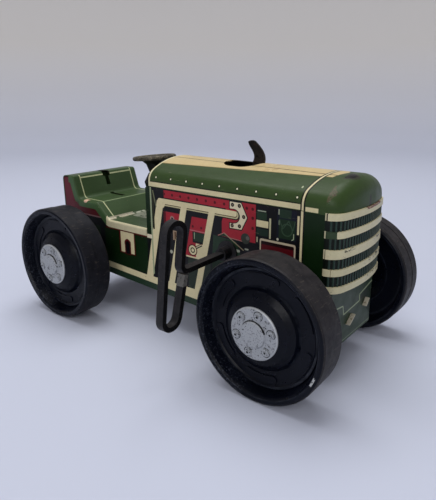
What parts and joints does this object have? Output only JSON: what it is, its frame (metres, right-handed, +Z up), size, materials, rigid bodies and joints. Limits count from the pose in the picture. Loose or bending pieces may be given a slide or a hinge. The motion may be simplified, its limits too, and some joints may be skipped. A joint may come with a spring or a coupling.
{
  "type": "clockwork toy tractor",
  "caption": "Pressed tin toy tractor with four moulded wheels, winding key, stop lever and a geared spring motor under the hood.",
  "frame": {"origin": "on the floor, on the mid-plane, halfway between the axles", "axes": "+X forward, +Y to the tractor's left, +Z up"},
  "size_m": [0.205, 0.126, 0.1033],
  "materials": {
    "green_litho_tin": "printed tinplate, satin",
    "black_moulding": "moulded, dull black",
    "silvered_tin": "silvered tinplate",
    "axle_steel": "drawn bar",
    "dark_key_steel": "blackened and worn",
    "lever_steel": "dark, browned",
    "wheel_tin": "black lacquer, rim worn",
    "motor_steel": "plain sheet steel",
    "spring_steel": "blued strip",
    "brass": "cut brass"
  },
  "bodies": {
    "chassis": {"hood_and_sides": "green_litho_tin", "tail_plate": "green_litho_tin", "dash_plate": "green_litho_tin", "nose_grille": "green_litho_tin", "front_apron": "green_litho_tin", "apron_bracket": "silvered_tin", "seat_and_footboard": "green_litho_tin", "steering_pedestal": "wheel_tin", "key_bush": "dark_key_steel", "right_motor_plate": "motor_steel", "left_motor_plate": "motor_steel", "motor_pillars": "axle_steel", "mainspring": "spring_steel", "lever_pin": "axle_steel", "anchor_pin": "axle_steel"},
    "front_wheelset": {"front_axle": "axle_steel", "front_right_wheel": "black_moulding", "front_left_wheel": "black_moulding", "front_right_hub_cap": "silvered_tin", "front_left_hub_cap": "silvered_tin", "axle_gear": "brass"},
    "rear_wheelset": {"rear_axle": "axle_steel", "rear_right_wheel": "black_moulding", "rear_left_wheel": "black_moulding", "rear_right_hub_cap": "silvered_tin", "rear_left_hub_cap": "silvered_tin"},
    "great_wheel_unit": {"great_wheel": "brass", "click_pin": "axle_steel"},
    "key_unit": {"winding_key": "dark_key_steel", "winding_arbor": "axle_steel", "ratchet_wheel": "motor_steel"},
    "click_unit": {"click": "motor_steel"},
    "idler_unit": {"idler_arbor": "axle_steel", "idler_gear": "brass"},
    "second_unit": {"second_arbor": "axle_steel", "second_wheel": "brass"},
    "star_unit": {"star_arbor": "axle_steel", "star_wheel": "motor_steel"},
    "anchor_unit": {"rocking_anchor": "motor_steel"},
    "lever_unit": {"start_stop_lever": "lever_steel"},
    "steering_unit": {"steering_wheel": "wheel_tin"}
  },
  "joints": [
    {"name": "front_axle_spin", "type": "hinge", "parent": "chassis", "child": "front_wheelset", "pos_m": [0.0705, 0, 0.032], "axis": [0, 1, 0], "continuous": true},
    {"name": "rear_axle_spin", "type": "hinge", "parent": "chassis", "child": "rear_wheelset", "pos_m": [-0.0705, 0, 0.032], "axis": [0, 1, 0], "continuous": true},
    {"name": "great_wheel_spin", "type": "hinge", "parent": "chassis", "child": "great_wheel_unit", "pos_m": [0.035, 0, 0.053], "axis": [0, 1, 0], "continuous": true},
    {"name": "key_turn", "type": "hinge", "parent": "great_wheel_unit", "child": "key_unit", "pos_m": [0.035, 0, 0.053], "axis": [0, 1, 0], "continuous": true},
    {"name": "click_lift", "type": "hinge", "parent": "great_wheel_unit", "child": "click_unit", "pos_m": [0.02903, 0, 0.06294], "axis": [0, -1, 0], "range_deg": [0, 8]},
    {"name": "idler_spin", "type": "hinge", "parent": "chassis", "child": "idler_unit", "pos_m": [0.06113, 0, 0.04293], "axis": [0, 1, 0], "continuous": true},
    {"name": "second_spin", "type": "hinge", "parent": "chassis", "child": "second_unit", "pos_m": [0.01422, 0, 0.065], "axis": [0, 1, 0], "continuous": true},
    {"name": "star_spin", "type": "hinge", "parent": "chassis", "child": "star_unit", "pos_m": [0.01204, 0, 0.07731], "axis": [0, 1, 0], "continuous": true},
    {"name": "anchor_rock", "type": "hinge", "parent": "chassis", "child": "anchor_unit", "pos_m": [0.00054, 0, 0.07731], "axis": [0, 1, 0], "range_deg": [-2.5, 2.5]},
    {"name": "lever_tip", "type": "hinge", "parent": "chassis", "child": "lever_unit", "pos_m": [0.032, 0, 0.08], "axis": [0, -1, 0], "range_deg": [0, 34]},
    {"name": "steering_turn", "type": "hinge", "parent": "chassis", "child": "steering_unit", "pos_m": [-0.038, 0, 0.0902], "axis": [-0.0958, 0, 0.9954], "continuous": true}
  ],
  "couplings": [
    {"joint": "idler_spin", "follows": "front_axle_spin", "ratio": -0.8},
    {"joint": "great_wheel_spin", "follows": "front_axle_spin", "ratio": 0.32},
    {"joint": "second_spin", "follows": "front_axle_spin", "ratio": -1.6},
    {"joint": "star_spin", "follows": "front_axle_spin", "ratio": 6.4}
  ]
}
